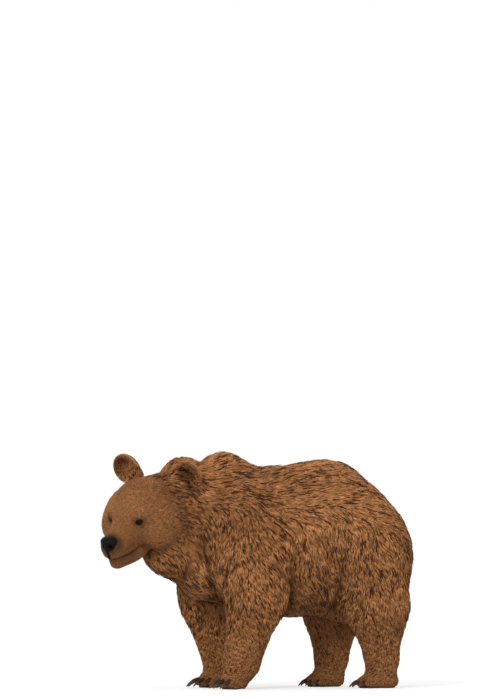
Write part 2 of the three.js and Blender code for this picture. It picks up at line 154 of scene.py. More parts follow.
class Bone:
    """A round bar between two joints, narrowed across by flat."""

    def __init__(self, start, end, start_radius, end_radius, soft, flat=1.0, axes=WORLD):
        self.start = np.array(start, float)
        self.along = np.array(end, float) - self.start
        self.radii = (start_radius, end_radius)
        self.soft = soft
        self.flat = flat
        self.axes = axes
        self.centre = axes.world(self.start + self.along / 2)
        half = np.linalg.norm(self.along) / 2
        self.reach = (half + max(self.radii) * max(flat, 1)) * axes.size

    def distance(self, points):
        q = self.axes.local(points) - self.start
        t = np.clip(q @ self.along / (self.along @ self.along), 0, 1)
        q = q - t[:, None] * self.along
        q[:, 1] /= self.flat
        radius = self.radii[0] + (self.radii[1] - self.radii[0]) * t
        return (np.sqrt((q * q).sum(1)) - radius) * self.axes.size * min(self.flat, 1)


def smooth_min(a, b, soft):
    h = np.maximum(soft - np.abs(a - b), 0) / soft
    return np.minimum(a, b) - h * h * soft / 4


def smooth_max(a, b, soft):
    return -smooth_min(-a, -b, soft)


def joined(masses, points):
    """The distance to masses blended together."""
    d = np.full(len(points), 1e3)
    for mass in masses:
        d = smooth_min(d, mass.distance(points), mass.soft)
    return d


def carved(d, mass, points):
    """The distance d with a mass taken out of it."""
    return smooth_max(d, -mass.distance(points), mass.soft)


def ease(low, high, value):
    """0 at low, 1 at high, and a smooth change between them."""
    t = np.clip((value - low) / (high - low), 0, 1)
    return t * t * (3 - 2 * t)


def bell(value, width):
    """1 at 0, falling away on both sides."""
    return np.exp(-((value / width) ** 2))


def mixed(first, second, t):
    return first + (second - first) * t


def length_of(vectors):
    return np.linalg.norm(vectors, axis=1)


def normalised(vectors):
    return vectors / np.maximum(np.linalg.norm(vectors, axis=-1, keepdims=True), 1e-9)


# ---------- the bear's masses, by part


def trunk_masses():
    hump_radius = 190
    belly_radius = 345
    return [
        Ball((150, 0, BELLY_BOTTOM + belly_radius), (370, TRUNK_HALF_WIDTH, belly_radius), 90),
        Ball((-150, 0, 720), (285, TRUNK_HALF_WIDTH - 26, 305), 90),  # chest
        Bone((20, 0, 896), (330, 0, 914), 138, 142, 90),  # back
        Ball((344, 0, 756), (270, TRUNK_HALF_WIDTH - 24, 302), 90),  # croup
        Ball((476, 0, 608), (284, TRUNK_HALF_WIDTH - 4, 328), 90),  # buttocks
        Ball((-176, 0, HUMP_TOP - hump_radius), (150, 125, hump_radius), 70),
        Ball((-252, 0, 580), (175, 205, 175), 90),  # brisket
    ]


def neck_masses():
    return [
        Bone((-230, 0, 800), (-500, -26, 832), 262, 178, 80, 0.86),
        Ball((-390, -16, 932), (120, 120, 160), 60),  # nape
        Ball((-468, -38, 638), (122, 130, 120), 100),  # throat
    ]


def head_masses():
    masses = [
        Ball((-8, 0, 4), (154, 136, 134), 60, HEAD),  # skull
        Ball((78, 0, 36), (96, 92, 66), 40, HEAD),  # forehead
        Bone((96, 0, -48), (262, 0, -53), 78, 59, 42, 0.95, HEAD),  # muzzle
        Bone((104, 0, 14), (214, 0, -38), 50, 36, 34, 0.85, HEAD),  # bridge of the nose
        Bone((66, 0, -132), (250, 0, -122), 72, 42, 16, 1, HEAD),  # lower jaw
    ]
    for side in (-1, 1):
        masses += [
            Ball((34, side * 93, -55), (112, 78, 104), 50, HEAD),  # cheek
            Ball((112, side * 54, 36), (46, 38, 28), 26, HEAD),  # brow
            Ball((-48, side * 112, -62), (96, 76, 118), 60, HEAD),  # ruff behind the cheek
            Ball((-150, side * 110, 54), (50, 48, 56), 34, HEAD),  # root of the ear
        ]
    return masses


def joint_at(leg, joint):
    """Where a leg's elbow or wrist is."""
    return (leg[joint][0], leg["side"] * STANCE, leg[joint][1])


def paw_axes(leg):
    """Axes on the floor under a heel, x towards the toes."""
    turn = turned("z", 180 + leg["side"] * leg["build"]["heading"])
    return Axes((leg["heel"], leg["side"] * STANCE, 0), turn)


def toe_axes(leg, i):
    """Toe i, on a shallow arc across the front of the foot."""
    across = 2 * i / (TOES - 1) - 1
    x = leg["heel"] - leg["toes"] - 36 - 26 * across * across
    y = across * (leg["build"]["paw_width"] / 2 - TOE_RADII[1] - 2)
    return paw_axes(leg).inner((x, y, 0), turned("z", 12 * across))


def leg_masses(leg):
    build = leg["build"]
    top_x, top_z = build["joint"]
    top = (top_x, leg["side"] * (STANCE - 26), top_z)
    elbow, wrist = joint_at(leg, "elbow"), joint_at(leg, "wrist")
    return [
        Bone(top, elbow, build["top"], build["elbow"], 70, LEG_FLAT),
        Bone(elbow, wrist, build["elbow"], build["wrist"], 60, LEG_FLAT),
    ]


def paw_masses(leg):
    build = leg["build"]
    axes = paw_axes(leg)
    length = leg["heel"] - leg["toes"]
    half = build["paw_width"] / 2
    ankle = axes.local(np.array(joint_at(leg, "wrist"), float))
    masses = [
        Ball((length * 0.34, 0, 34), (length * 0.36, half * 0.82, 52), 34, axes),
        Ball((length * 0.62, 0, 30), (length * 0.32, half, 44), 30, axes),
        Bone(ankle, (length * 0.46, 0, 42), build["wrist"] * 0.94, 48, 34, 0.95, axes),
    ]
    for i in range(TOES):
        masses.append(Ball((0, 0, TOE_RADII[2] - 3), TOE_RADII, 7, toe_axes(leg, i)))
    return masses


class Ear:
    """A round shell with a bowl in front. In the head's axes the left side is +1."""

    soft = 16

    def __init__(self, side):
        place = HEAD.inner((EAR_AT[0], side * EAR_AT[1], EAR_AT[2]), turned("z", side * EAR_FLARE))
        self.axes = place.inner((0, 0, 0), turned("x", -side * EAR_LEAN))
        _, wide, tall = EAR_RADII
        self.shell = Ball((0, 0, 0), EAR_RADII, 1, self.axes)
        self.bowl = Ball((28, 0, 4), (30, wide - 16, tall - 18), 14, self.axes)
        self.centre = self.shell.centre
        self.reach = self.shell.reach

    def distance(self, points):
        return carved(self.shell.distance(points), self.bowl, points)

    def in_bowl(self, points):
        """1 in the hollow of the ear, and 0 on its rim and back."""
        return ease(14, 4, self.bowl.distance(points))


PARTS = {"trunk": trunk_masses(), "neck": neck_masses()}
for leg_name, leg in LEGS.items():
    PARTS["leg_" + leg_name] = leg_masses(leg)
    PARTS["paw_" + leg_name] = paw_masses(leg)
PARTS["head"] = head_masses()
PARTS["tail"] = [Bone((676, 0, 780), (736, 0, 680), 42, 28, 24)]
EARS = {"ear_left": Ear(1), "ear_right": Ear(-1)}
for ear_name, ear in EARS.items():
    PARTS[ear_name] = [ear]

ROW = {name: row for row, name in enumerate(PARTS)}  # of each part in the tables below
MARGIN = 90  # how far round a mass its distance is worked out


def near_to(points, centre, reach):
    """The numbers of the points within a cube round the centre."""
    near = np.abs(points[:, 0] - centre[0]) < reach
    near &= np.abs(points[:, 1] - centre[1]) < reach
    near &= np.abs(points[:, 2] - centre[2]) < reach
    return np.flatnonzero(near)


def part_distances(points):
    """The distance to the whole body, coat included, and to each part of it."""
    whole = np.full(len(points), 1e3)
    parts = np.full((len(PARTS), len(points)), 1e3)
    for row, masses in enumerate(PARTS.values()):
        for mass in masses:
            near = near_to(points, mass.centre, mass.reach + MARGIN)
            if len(near):
                d = mass.distance(points[near])
                whole[near] = smooth_min(whole[near], d, mass.soft)
                parts[row, near] = smooth_min(parts[row, near], d, mass.soft)
    return whole, parts


def part_weights(parts):
    """How much each part has of a point: rows by part, adding up to 1."""
    nearest = parts.min(0)
    weights = np.exp(-(parts - nearest) / 16)
    return weights / weights.sum(0)


def weights_at(points):
    return part_weights(part_distances(points)[1])


def by_part(weights, values):
    """Mixes one value for each part by its weight."""
    return sum(weights[ROW[name]] * value for name, value in values.items())


# ---------- the skin's distance

EYES = {side: HEAD.world((EYE_AT[0], side * EYE_AT[1], EYE_AT[2])) for side in (-1, 1)}
BEHIND_PAD = Ball((NOSE_AT[0] + 6, 0, NOSE_AT[2] - 8), (27, 31, 24), 3)  # in the head's axes


def from_eyes(points):
    return np.min([length_of(points - eye) for eye in EYES.values()], 0)


def coat_depth(points, weights):
    """How deep the skin lies under the tips of the coat."""
    ahead = HEAD.local(points)[:, 0]
    height = points[:, 2]
    face = 3 + 8 * ease(190, 40, ahead) + 12 * ease(40, -110, ahead)
    lid = bell(from_eyes(points), 42)
    face = face * (1 - lid) + 2.5 * lid
    depths = {"trunk": 30, "neck": 31, "tail": 20, "head": face, "ear_left": 4, "ear_right": 4}
    for name in LEGS:
        depths["leg_" + name] = 13 + 13 * ease(120, 460, height)
        depths["paw_" + name] = 5 + 5 * ease(40, 110, height)
    return by_part(weights, depths)


def mouth_height(x):
    """The height in the head's axes of the line where the lips meet: it turns up at the corner."""
    t = np.clip((x - MOUTH_CORNER) / (MOUTH_FRONT - MOUTH_CORNER), 0, 1)
    return -96 - 11 * np.sin(math.pi * np.minimum(1.15 * t + 0.1, 1)) - 5 * t


def mouth_relief(points):
    """How much further in the skin lies round the mouth: a crease, with full upper lips over it."""
    x, _, z = HEAD.local(points).T
    above = z - mouth_height(x)
    there = ease(MOUTH_CORNER - 14, MOUTH_CORNER + 16, x)
    crease = 7 * bell(above, 3.6)
    upper_lip = -2.5 * bell(above - 13, 9)
    lower_lip = 5 * ease(3, -7, above) * ease(-52, -30, above)
    return there * (crease + upper_lip + lower_lip)


def fold_at(points):
    """How deep in a fold each point is, from 0 to 1."""
    deepest = np.zeros(len(points))
    for leg in LEGS.values():
        on_side = ease(90, 150, leg["side"] * points[:, 1])
        for start, end in leg["build"]["folds"]:
            start = np.array([leg["elbow"][0] + start[0], start[1]])
            along = np.array([leg["elbow"][0] + end[0], end[1]]) - start
            q = points[:, [0, 2]] - start
            t = np.clip(q @ along / (along @ along), 0, 1)
            apart = length_of(q - t[:, None] * along)
            deepest = np.maximum(deepest, on_side * bell(apart, 22))
    return deepest


def smooth_skin_distance(points):
    """The distance to the skin before the mouth and the eyes are opened in it."""
    whole, parts = part_distances(points)
    weights = part_weights(parts)
    ruff = weights[ROW["head"]] * weights[ROW["neck"]]
    d = whole + coat_depth(points, weights) + 12 * fold_at(points) + 30 * ruff
    return smooth_max(d, SOLE_HEIGHT - points[:, 2], 3)


def skin_distance(points):
    d = smooth_skin_distance(points)
    near = near_to(points, HEAD.world((230, 0, -100)), 160)
    d[near] += mouth_relief(points[near])
    near = near_to(points, HEAD.world(NOSE_AT), 70)
    d[near] = carved(d[near], BEHIND_PAD, HEAD.local(points[near]))
    for eye in EYES.values():
        near = near_to(points, eye, 60)
        ball = length_of(points[near] - eye) - EYE_RADIUS - 1.5
        d[near] = smooth_max(d[near], -ball, 4)
    return d


def slope_of(distance, points, step=1.5):
    """The distance and its gradient."""
    here = distance(points)
    slope = np.empty((len(points), 3))
    for axis in range(3):
        moved = points.copy()
        moved[:, axis] += step
        slope[:, axis] = (distance(moved) - here) / step
    return here, slope


def settled(points, distance, height=0.0, turns=1, reach=6.0):
    """Moves points to where the distance is height."""
    for _ in range(turns):
        here, slope = slope_of(distance, points)
        move = (height - here) / np.maximum((slope * slope).sum(1), 0.2)
        points = points + slope * np.clip(move, -reach, reach)[:, None]
    return points


# ---------- surfaces from distances

CORNERS = [(i, j, k) for i in (0, 1) for j in (0, 1) for k in (0, 1)]
EDGES = [(a, b) for a in CORNERS for b in CORNERS if a < b and sum(p != q for p, q in zip(a, b)) == 1]
BLOCK = 3  # grid steps in the first, coarse look at where the surface is
BLOCK_REACH = 85


def spaced(*stretches):
    """Places along an axis, in stretches of (start, end, step)."""
    return np.concatenate([np.arange(*stretch) for stretch in stretches])


def sampled(distance, axes):
    """The distance on a grid, worked out at every place only near the surface."""
    grid = np.stack(np.meshgrid(*axes, indexing="ij"), -1)
    coarse = grid[::BLOCK, ::BLOCK, ::BLOCK]
    values = distance(coarse.reshape(-1, 3)).reshape(coarse.shape[:3])
    for n in range(3):
        values = np.repeat(values, BLOCK, n)
    values = values[tuple(slice(0, len(axis)) for axis in axes)]
    near = np.abs(values) < BLOCK_REACH
    values[near] = distance(grid[near])
    return values


def net_points(values, axes):
    """One point in each grid cell that the surface passes through, and the number of each cell's point."""
    cells = np.array(values.shape) - 1
    total = np.zeros((*cells, 3), np.float32)
    hits = np.zeros(cells, np.float32)
    for a, b in EDGES:
        va, vb = (values[tuple(slice(s, s + n) for s, n in zip(corner, cells))] for corner in (a, b))
        cut = (va < 0) != (vb < 0)
        t = np.where(cut, va / np.where(cut, va - vb, 1), 0)
        for n in range(3):
            total[..., n] += np.where(cut, a[n] + t * (b[n] - a[n]), 0)
        hits += cut
    found = hits > 0
    number = np.full(cells, -1)
    number[found] = np.arange(found.sum())
    places = np.argwhere(found) + total[found] / hits[found][:, None]
    points = [np.interp(places[:, n], np.arange(len(axes[n])), axes[n]) for n in range(3)]
    return np.stack(points, 1), number


def surface_of(distance, axes):
    """The surface where the distance is 0, as surface nets on a grid: points and triangles."""
    values = sampled(distance, axes)
    points, number = net_points(values, axes)
    inside = values < 0
    quads = []
    for axis in range(3):
        at = np.argwhere(inside != np.roll(inside, -1, axis))
        _, u, v = np.roll(np.eye(3, dtype=int), -axis, 0)
        ring = np.stack([number[tuple((at - step).T)] for step in (0 * u, u, u + v, v)], 1)
        inward = ~inside[tuple(at.T)]
        ring[inward] = ring[inward][:, ::-1]
        quads.append(ring)
    quads = np.concatenate(quads)
    across = length_of(points[quads[:, 0]] - points[quads[:, 2]])
    other = length_of(points[quads[:, 1]] - points[quads[:, 3]])
    shorter = other < across  # each square is cut along its shorter diagonal
    quads[shorter] = np.roll(quads[shorter], -1, 1)
    return points, np.concatenate([quads[:, [0, 1, 2]], quads[:, [0, 2, 3]]])


def refined(points, triangles, wanted):
    """Splits the triangles round the wanted points, and their neighbours so that no gap opens."""
    edges = np.sort(triangles[:, [[0, 1], [1, 2], [2, 0]]].reshape(-1, 2), 1)
    split = wanted[edges].all(1)
    pairs, place = np.unique(edges[split], axis=0, return_inverse=True)
    middle = np.full(len(edges), -1)
    middle[split] = len(points) + place.ravel()
    points = np.concatenate([points, points[pairs].mean(1)])
    mid = middle.reshape(-1, 3)
    cuts = (mid >= 0).sum(1)
    made = [triangles[cuts == 0]]
    whole = cuts == 3
    (a, b, c), (m, n, o) = triangles[whole].T, mid[whole].T
    made += [np.stack(t, 1) for t in ((a, m, o), (m, b, n), (o, n, c), (m, n, o))]
    for turn in range(3):
        order = [(turn + n) % 3 for n in range(3)]
        (a, b, c), (m, n, o) = triangles[:, order].T, mid[:, order].T
        one = (cuts == 1) & (m >= 0)
        made += [np.stack(t, 1)[one] for t in ((a, m, c), (m, b, c))]
        two = (cuts == 2) & (o < 0)
        made += [np.stack(t, 1)[two] for t in ((m, b, n), (a, m, n), (a, n, c))]
    return points, np.concatenate(made)


def relaxed(points, triangles):
    """Moves the points halfway to the middle of their neighbours."""
    total = np.zeros_like(points)
    count = np.zeros(len(points))
    for a, b in ((0, 1), (1, 0), (1, 2), (2, 1), (2, 0), (0, 2)):
        here, there = triangles[:, a], triangles[:, b]
        for axis in range(3):
            total[:, axis] += np.bincount(here, points[there, axis], len(points))
        count += np.bincount(here, minlength=len(points))
    return 0.5 * points + 0.5 * total / np.maximum(count, 1)[:, None]


def needs_splitting(points):
    """Where the skin's triangles are split once, twice and three times."""
    x, y, z = HEAD.local(points).T
    aside = np.abs(y)
    eyes = from_eyes(points)
    ears = np.min([length_of(points - ear.axes.origin) for ear in EARS.values()], 0)
    on_face = (x > 30) & (points[:, 0] < -600) & (aside < 250)
    on_muzzle = (x > 120) & (x < 400) & (aside < 110)
    by_mouth = (x > MOUTH_CORNER - 14) & (aside < 110) & (np.abs(z - mouth_height(x)) < 13)
    by_feet = points[:, 2] < 60
    return on_face | (ears < 85) | by_feet, on_muzzle | (eyes < 50), by_mouth | (eyes < 30)


def skin_surface():
    axes = [
        spaced((-880, -300, 9), (-300, 800, 17)),
        spaced((-350, -270, 12), (-270, 190, 9.4), (190, 350, 12)),
        spaced((-12, 110, 8.5), (110, 900, 14), (900, 1130, 9.4)),
    ]
    points, triangles = surface_of(skin_distance, axes)
    points = settled(points, skin_distance, turns=2)
    for level in range(3):
        points, triangles = refined(points, triangles, needs_splitting(points)[level])
        new = needs_splitting(points)[level]
        points[new] = settled(relaxed(points, triangles)[new], skin_distance, turns=2)
    return points, triangles


# ---------- meshes in the row's frame

eye_low, eye_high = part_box("eye_left")
SHIFT = np.array((eye_low + eye_high) / 2) * 1000 - EYES[1]  # from the bear's own frame to the row's


def to_row(points):
    return (np.asarray(points, float) + SHIFT) / 1000


def in_scene(name, data):
    made = bpy.data.objects.new(name, data)
    bpy.context.scene.collection.objects.link(made)
    return made


def mesh_object(name, points, faces, material):
    """A new smooth object from points in the bear's frame and faces of one length."""
    faces = np.asarray(faces, np.int32)
    mesh = bpy.data.meshes.new(name)
    mesh.vertices.add(len(points))
    mesh.vertices.foreach_set("co", to_row(points).astype(np.float32).ravel())
    mesh.loops.add(faces.size)
    mesh.loops.foreach_set("vertex_index", faces.ravel())
    mesh.polygons.add(len(faces))
    mesh.polygons.foreach_set("loop_start", np.arange(0, faces.size, faces.shape[1], dtype=np.int32))
    mesh.polygons.foreach_set("use_smooth", np.full(len(faces), True))
    mesh.update(calc_edges=True)
    mesh.materials.append(material)
    made = in_scene(name, mesh)
    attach(made, "root")
    return made


def mark(made, colours):
    """Stores one colour for each point."""
    layer = made.data.color_attributes.new("marks", "FLOAT_COLOR", "POINT")
    flat = np.ones((len(colours), 4), np.float32)
    flat[:, :3] = colours
    layer.data.foreach_set("color", flat.ravel())


# ---------- colours, markings and painted shade


def linear(red, green, blue):
    """An sRGB colour out of 255, as linear values."""
    srgb = np.array([red, green, blue]) / 255
    return np.where(srgb > 0.04045, ((srgb + 0.055) / 1.055) ** 2.4, srgb / 12.92)


FUR = linear(154, 104, 63)
# The darkest coat colour, which also carries the painted shade in folds and hollows.
FUR_DARK_AND_SHADE = linear(86, 53, 30)
FUR_PALE = linear(182, 130, 84)
STROKE = linear(66, 40, 20)  # the dark guard hairs
BARE = linear(22, 16, 14)  # the rims of the lids
IRIS_COLOUR, PUPIL_COLOUR, EYE_WHITE = linear(27, 15, 8), linear(3, 2, 2), linear(26, 19, 15)
HORN, HORN_TIP = linear(44, 27, 15), linear(92, 64, 38)


def waves(points, scale, seed):
    """A smooth random value about 0, of that scale in millimetres."""
    own = np.random.default_rng(seed)
    total = np.zeros(len(points))
    count = 9
    for _ in range(count):
        way = own.normal(size=3)
        way *= own.uniform(0.6, 1.4) * 2 * math.pi / scale / np.linalg.norm(way)
        total += np.sin(points @ way + own.uniform(0, 2 * math.pi))
    return total / math.sqrt(count / 2)


def from_nose(points):
    """How far each point is from the middle of the nose pad: about 1 at its rim."""
    return length_of((HEAD.local(points) - NOSE_AT + (4, 0, 8)) / (31, 40, 32))


def coat_colour(points):
    """The coat's colour at a place on the skin, shared by the skin and the tufts that grow there, with
    painted shade in the folds, along the cheek's seam, in the ear hollows and round the ears.
    """
    weights = weights_at(points)
    x, _, z = HEAD.local(points).T
    head = weights[ROW["head"]]
    feet = sum(weights[ROW["paw_" + name]] for name in LEGS)
    # Painted shade along the seam where the head meets the neck.
    cheek_seam_shade = 4 * head * weights[ROW["neck"]]
    # The hollow of each ear: painted shade darkens the coat there.
    in_ear = sum(weights[ROW[name]] * ear.in_bowl(points) for name, ear in EARS.items())
    on_ears = sum(weights[ROW[name]] for name in EARS)
    # Painted shade in a ring round the base of each ear.
    ear_base_shade = ease(26, 4, np.min([ear.shell.distance(points) for ear in EARS.values()], 0))
    by_lips = head * ease(MOUTH_CORNER - 20, MOUTH_CORNER + 10, x) * bell(z - mouth_height(x), 9)
    shade = 0.10 * waves(points, 330, 21) + 0.07 * waves(points, 120, 22)
    # The feet are a little darker in their own colour; the darkening in the leg folds, at the seam of head
    # and neck and in the hollow of the ears is painted shade.
    shade = shade - 0.12 * feet - 0.6 * fold_at(points) - 0.5 * cheek_seam_shade - 0.7 * in_ear
    # Painted shade round the base of each ear on the head and neck; the paler rim and back of the ear are
    # its own colour.
    shade = shade - 0.6 * (1 - on_ears) * ear_base_shade + 0.25 * on_ears * (1 - in_ear)
    shade = shade + 0.03 * head * ease(-120, 0, x)
    shade = shade - 0.6 * ease(46, 22, from_eyes(points)) - 0.5 * by_lips
    shade = shade - 0.75 * head * ease(1.9, 1.0, from_nose(points))
    pale = np.clip(shade, 0, 1)[:, None]
    dark = np.clip(-shade, 0, 1)[:, None]
    return FUR * (1 - pale - dark) + FUR_PALE * pale + FUR_DARK_AND_SHADE * dark


# ---------- materials


def fill(tree, node, inputs):
    """Sets a node's inputs, or links them where another node's output is given."""
    for name, value in inputs.items():
        if isinstance(value, bpy.types.NodeSocket):
            tree.links.new(value, node.inputs[name])
        else:
            node.inputs[name].default_value = value


def new_node(tree, kind, inputs, **settings):
    made = tree.nodes.new("ShaderNode" + kind)
    for name, value in settings.items():
        setattr(made, name, value)
    fill(tree, made, inputs)
    return made


def new_material(name):
    material = bpy.data.materials.new(name)
    material.use_nodes = True
    return material, material.node_tree, material.node_tree.nodes["Principled BSDF"]


def texture(tree, kind, inputs):
    """A texture in the row's frame, its scale being features a metre."""
    where = new_node(tree, "TexCoord", {})
    return new_node(tree, kind, {"Vector": where.outputs["Object"], **inputs})


def ramp(tree, source, low_colour, high_colour):
    made = new_node(tree, "ValToRGB", {"Fac": source})
    ends = made.color_ramp.elements
    ends[0].position, ends[1].position = 0.3, 0.7
    ends[0].color, ends[1].color = (*low_colour, 1), (*high_colour, 1)
    return made.outputs["Color"]


def bump(tree, source, height):
    return new_node(tree, "Bump", {"Distance": height, "Height": source}).outputs["Normal"]


def marked_material(name, rough, specular, noise_scale, low, high, bump_height=0.0):
    """The colour stored on the mesh, broken up by noise between two levels, and bumped by it."""
    material, tree, shader = new_material(name)
    marks = new_node(tree, "Attribute", {}, attribute_name="marks").outputs["Color"]
    noise = texture(tree, "TexNoise", {"Scale": noise_scale, "Detail": 4.0}).outputs["Fac"]
    levels = {"Factor": 1.0, "A": marks, "B": ramp(tree, noise, (low,) * 3, (high,) * 3)}
    mix = new_node(tree, "Mix", levels, data_type="RGBA", blend_type="MULTIPLY")
    colour = mix.outputs["Result"]
    fill(tree, shader, {"Base Color": colour, "Roughness": rough, "Specular IOR Level": specular})
    if bump_height:
        fill(tree, shader, {"Normal": bump(tree, noise, bump_height)})
    return material


def pebbled_material(name, colour, rough, specular, scale, height):
    """Bare skin: one dark colour with a fine pebbled grain."""
    material, tree, shader = new_material(name)
    noise = texture(tree, "TexNoise", {"Scale": scale / 8, "Detail": 4.0})
    colours = ramp(tree, noise.outputs["Fac"], colour * 0.7, colour * 1.4)
    grain = texture(tree, "TexVoronoi", {"Scale": scale})
    normal = bump(tree, grain.outputs["Distance"], height)
    fill(tree, shader, {"Base Color": colours, "Normal": normal})
    fill(tree, shader, {"Roughness": rough, "Specular IOR Level": specular})
    return material


skin_material = marked_material("fur_skin", 0.9, 0.1, 420, 0.75, 1.15, 0.001)
coat_material = marked_material("fur_coat", 0.8, 0.12, 70, 0.86, 1.12)
eye_material = marked_material("eye_wet", 0.05, 0.08, 900, 0.8, 1.2)
claw_material = marked_material("horn", 0.45, 0.15, 500, 0.8, 1.15, 0.0002)
lids_material = marked_material("lid_skin", 0.7, 0.04, 600, 0.8, 1.15, 0.0003)
nose_material = pebbled_material("nose_skin", linear(13, 10, 9), 0.5, 0.06, 520, -0.0005)
lip_material = pebbled_material("lip_skin", linear(27, 20, 18), 0.5, 0.2, 700, -0.0003)
pad_material = pebbled_material("pad_skin", linear(48, 38, 33), 0.7, 0.2, 330, -0.0008)

# ---------- the skin

flesh_nodes = ["trunk", "tail", "neck", "head", *EARS]
flesh_nodes += [part + name for name in LEGS for part in ("leg_", "paw_")]
skin_points, skin_triangles = skin_surface()
skin = mesh_object("skin", skin_points, skin_triangles, skin_material)
mark(skin, coat_colour(skin_points) * 0.7)
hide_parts(*flesh_nodes)

# ---------- rings of points


def full_turn(count):
    """Angles evenly round a circle."""
    return np.linspace(0, 2 * math.pi, count, endpoint=False)


def round_shell(tilts, columns):
    """Directions in rings about the first axis, each ring at its own tilt from it."""
    tilt, angle = tilts[:, None], full_turn(columns)[None]
    rings = [np.cos(tilt) + 0 * angle, np.sin(tilt) * np.cos(angle), np.sin(tilt) * np.sin(angle)]
    return np.stack(rings, -1)


def ring_faces(rows, columns):
    """Squares between rows of points, each row closed on itself."""
    here = np.arange(columns) + columns * np.arange(rows - 1)[:, None]
    after = np.roll(here, -1, 1)
    return np.stack([here, here + columns, after + columns, after], -1).reshape(-1, 4)


# ---------- eyes and lids


def eye_axes(side):
    """Axes at the middle of an eye: x looks out, y to the animal's left, z up."""
    ahead = normalised(np.array([0.88, 0.47 * side, 0.06]))
    up = normalised(np.array([0, 0, 1.0]) - ahead[2] * ahead)
    return Axes(EYES[side], HEAD.turn @ np.stack([ahead, np.cross(up, ahead), up], 1))


def make_eye(side, word):
    """A wet eyeball, its rings closer where the colour changes."""
    rows, columns = 40, 48
    tilts = np.radians(180 * np.linspace(0.003, 0.997, rows) ** 1.35)
    radius = EYE_RADIUS * (1 - 0.05 * ease(30, 46, np.degrees(tilts)))
    shell = round_shell(tilts, columns) * radius[:, None, None]
    points = eye_axes(side).world(shell.reshape(-1, 3))
    eye = mesh_object("eyeball_" + word, points, ring_faces(rows, columns), eye_material)
    off_axis = np.repeat(np.degrees(tilts), columns)[:, None]
    angle = np.tile(full_turn(columns), rows)[:, None]
    rays = 1 + 0.2 * np.sin(23 * angle) * np.sin(9 * angle + 1)
    iris = IRIS_COLOUR * rays * (1 - 0.75 * ease(IRIS - 8, IRIS, off_axis))
    colours = mixed(PUPIL_COLOUR, iris, ease(PUPIL - 1.5, PUPIL + 1.5, off_axis))
    mark(eye, mixed(colours, EYE_WHITE, ease(IRIS, IRIS + 3, off_axis)))
    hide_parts("eye_" + word)


def make_lids(side, word):
    """The bare rim of an almond opening, turning into the skin of the face outwards."""
    rows, columns = 16, 72
    turn = full_turn(columns)
    outward = np.where(np.cos(turn) > 0, 47, 56) * np.cos(turn)
    height = np.where(np.sin(turn) > 0, 36, 31) * np.sign(np.sin(turn)) * np.abs(np.sin(turn)) ** 1.25
    height = height + 0.10 * outward  # the outer corner is the higher one
    opening = np.radians(np.stack([outward, height], 1))
    size = np.linalg.norm(opening, axis=1, keepdims=True)
    points = []
    colours = []
    for t in np.arange(rows) / (rows - 1):
        reach = size + (math.radians(96) - size) * t**1.3
        angles = opening / size * reach
        tilt = length_of(angles)
        way = angles / tilt[:, None]
        ring = [np.cos(tilt), side * np.sin(tilt) * way[:, 0], np.sin(tilt) * way[:, 1]]
        fold = -1.1 * bell(t - 0.42, 0.09) * ease(0, 0.6, np.sin(turn))
        lid = EYE_RADIUS + 0.1 + 2.3 * ease(0, 0.14, t) + fold
        ring = eye_axes(side).world(np.stack(ring, 1) * lid[:, None])
        if t > 0.3:
            on_skin = settled(ring, smooth_skin_distance, 0.8 - 3.0 * t, 2, 20)
            ring = mixed(ring, on_skin, ease(0.3, 0.9, t))
        points.append(ring)
        colours.append(mixed(BARE, coat_colour(ring) * 0.8, ease(0.25, 0.8, t)))
    faces = ring_faces(rows, columns)
    if side > 0:
        faces = faces[:, ::-1]
    lids = mesh_object("lids_" + word, np.concatenate(points), faces, lids_material)
    mark(lids, np.concatenate(colours))


for eye_side, eye_word in ((1, "left"), (-1, "right")):
    make_eye(eye_side, eye_word)
    make_lids(eye_side, eye_word)

# ---------- nose and lips


def nose_distance(points):
    """The nose pad in the head's axes, with its nostrils and the groove down to the lip."""
    x, y, z = NOSE_AT
    d = joined([
        Ball((x - 3, y, z + 2), (30, 39, 25), 1),
        Ball((x + 1, y, z - 20), (25, 31, 21), 14),
        Bone((x + 15, 0, z - 34), (x + 13, 0, z - 68), 9, 6, 9),
    ], points)
    d = carved(d, Bone((x + 31, 0, z), (x + 28, 0, z - 36), 1.5, 2.2, 3), points)
    d = carved(d, Bone((x + 27, 0, z - 36), (x + 21, 0, z - 72), 2.2, 2, 3), points)
    for side in (-1, 1):
        hole = Ball((x + 20, side * 17, z - 9), (15, 8, 8.5), 1)
        slit = Bone((x + 17, side * 22, z - 14), (x + 4, side * 37, z - 13), 4, 2.4, 5)
        d = smooth_max(d, -joined([hole, slit], points), 4)
    return d


def make_nose():
    x, y, z = NOSE_AT
    step = 1.5
    axes = [spaced((x - 40, x + 36, step)), spaced((y - 46, y + 46, step)), spaced((z - 82, z + 34, step))]
    points, triangles = surface_of(nose_distance, axes)
    points = relaxed(settled(points, nose_distance, turns=2), triangles)
    nose = mesh_object("nose_pad", HEAD.world(points), triangles, nose_material)
    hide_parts("nose")


def mouth_line():
    """Points along the parting of the lips, from the left corner round the front to the right one."""
    corner, front = MOUTH_CORNER - 4, 240
    plan = [(x, 1.0, 0.0) for x in np.linspace(corner, front, 20)]
    for angle in np.radians(np.linspace(90, -90, 29))[1:-1]:
        plan.append((front, math.sin(angle), math.cos(angle)))
    plan += [(x, -1.0, 0.0) for x in np.linspace(front, corner, 20)]
    plan = np.array(plan)
    low, high = np.full(len(plan), 5.0), np.full(len(plan), 130.0)
    for _ in range(24):
        reach = (low + high) / 2
        x = plan[:, 0] + plan[:, 2] * reach
        points = HEAD.world(np.stack([x, plan[:, 1] * reach, mouth_height(x)], 1))
        outside = smooth_skin_distance(points) > -3.2
        high = np.where(outside, reach, high)
        low = np.where(outside, low, reach)
    return points


